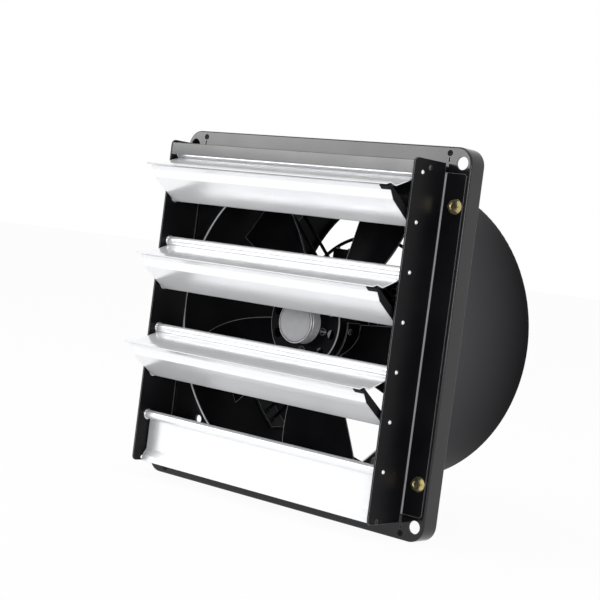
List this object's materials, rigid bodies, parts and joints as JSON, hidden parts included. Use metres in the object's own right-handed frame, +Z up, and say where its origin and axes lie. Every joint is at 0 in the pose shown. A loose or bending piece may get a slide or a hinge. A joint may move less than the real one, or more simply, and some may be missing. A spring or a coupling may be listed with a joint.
{
  "type": "shutter exhaust fan",
  "caption": "Square wall exhaust fan with a round barrel, sheet impeller and a gravity shutter of aluminium louvers.",
  "frame": {"origin": "fan axis in the front face of the mounting plate", "axes": "+Z up, -Y out of the shutter, +X to the right"},
  "size_m": [0.36, 0.2562, 0.36],
  "materials": {
    "black_paint": "satin",
    "bright_steel": "satin",
    "yellow_zinc": "satin",
    "mill_aluminium": "satin",
    "cast_alloy": "satin",
    "core_steel": "satin",
    "copper_enamel": "gloss",
    "black_plastic": "matte",
    "white_plastic": "matte",
    "black_rubber": "matte"
  },
  "bodies": {
    "root": {"bracket_bolts": "yellow_zinc", "bracket_nuts": "yellow_zinc", "bracket_washers": "yellow_zinc", "cable_gland": "black_plastic", "capacitor_clip": "bright_steel", "capacitor_lead": "black_rubber", "fan_barrel": "black_paint", "front_bearing": "bright_steel", "front_end_bell": "black_paint", "gland_nut": "black_plastic", "left_pivot_pins": "bright_steel", "left_side_bracket": "black_paint", "lid_screws": "bright_steel", "motor_mount_bolts": "yellow_zinc", "motor_mount_nuts": "yellow_zinc", "motor_shell": "black_paint", "motor_through_bolts": "yellow_zinc", "motor_through_nuts": "yellow_zinc", "mounting_plate": "black_paint", "pivot_washers": "bright_steel", "rail_rivets": "black_paint", "rear_bearing": "bright_steel", "rear_end_bell": "black_paint", "right_pivot_pins": "bright_steel", "right_side_bracket": "black_paint", "run_capacitor": "white_plastic", "spider_feet": "black_paint", "spider_plate": "black_paint", "spider_wire_ring": "black_paint", "spider_wires": "black_paint", "stator_core": "core_steel", "stator_windings": "copper_enamel", "terminal_block": "white_plastic", "terminal_box": "black_plastic", "terminal_box_lid": "black_plastic", "top_rail": "black_paint"},
    "impeller": {"impeller_hub": "black_paint", "blade_rivets": "black_paint", "hub_boss": "cast_alloy", "boss_cap": "cast_alloy", "set_screws": "bright_steel", "hub_screws": "black_paint", "motor_shaft": "bright_steel", "rotor_core": "core_steel", "fan_blade_1": "black_paint", "fan_blade_2": "black_paint", "fan_blade_3": "black_paint", "fan_blade_4": "black_paint", "fan_blade_5": "black_paint"},
    "louver_1": {"louver_blade_1": "mill_aluminium"},
    "louver_2": {"louver_blade_2": "mill_aluminium", "lip_clip_1": "black_plastic"},
    "louver_3": {"louver_blade_3": "mill_aluminium"},
    "louver_4": {"louver_blade_4": "mill_aluminium", "lip_clip_2": "black_plastic"},
    "louver_5": {"louver_blade_5": "mill_aluminium"},
    "louver_6": {"louver_blade_6": "mill_aluminium", "lip_clip_3": "black_plastic"},
    "louver_7": {"louver_blade_7": "mill_aluminium"}
  },
  "joints": [
    {"name": "impeller_spin", "type": "hinge", "parent": "root", "child": "impeller", "pos_m": [0, 0, 0], "axis": [0, -1, 0], "continuous": true},
    {"name": "louver_1_hinge", "type": "hinge", "parent": "root", "child": "louver_1", "pos_m": [0, -0.037, 0.152], "axis": [-1, 0, 0], "range_deg": [-61.5, 0]},
    {"name": "louver_2_hinge", "type": "hinge", "parent": "root", "child": "louver_2", "pos_m": [0, -0.037, 0.1072], "axis": [-1, 0, 0], "range_deg": [-116.5, 0]},
    {"name": "louver_3_hinge", "type": "hinge", "parent": "root", "child": "louver_3", "pos_m": [0, -0.037, 0.0624], "axis": [-1, 0, 0], "range_deg": [-61.5, 0]},
    {"name": "louver_4_hinge", "type": "hinge", "parent": "root", "child": "louver_4", "pos_m": [0, -0.037, 0.0176], "axis": [-1, 0, 0], "range_deg": [-116.5, 0]},
    {"name": "louver_5_hinge", "type": "hinge", "parent": "root", "child": "louver_5", "pos_m": [0, -0.037, -0.0272], "axis": [-1, 0, 0], "range_deg": [-61.5, 0]},
    {"name": "louver_6_hinge", "type": "hinge", "parent": "root", "child": "louver_6", "pos_m": [0, -0.037, -0.072], "axis": [-1, 0, 0], "range_deg": [-116.5, 0]},
    {"name": "louver_7_hinge", "type": "hinge", "parent": "root", "child": "louver_7", "pos_m": [0, -0.037, -0.1168], "axis": [-1, 0, 0], "range_deg": [0, 63.5]}
  ],
  "couplings": [
    {"joint": "louver_2_hinge", "follows": "louver_1_hinge", "ratio": 1.8943},
    {"joint": "louver_4_hinge", "follows": "louver_3_hinge", "ratio": 1.8943},
    {"joint": "louver_6_hinge", "follows": "louver_5_hinge", "ratio": 1.8943}
  ]
}
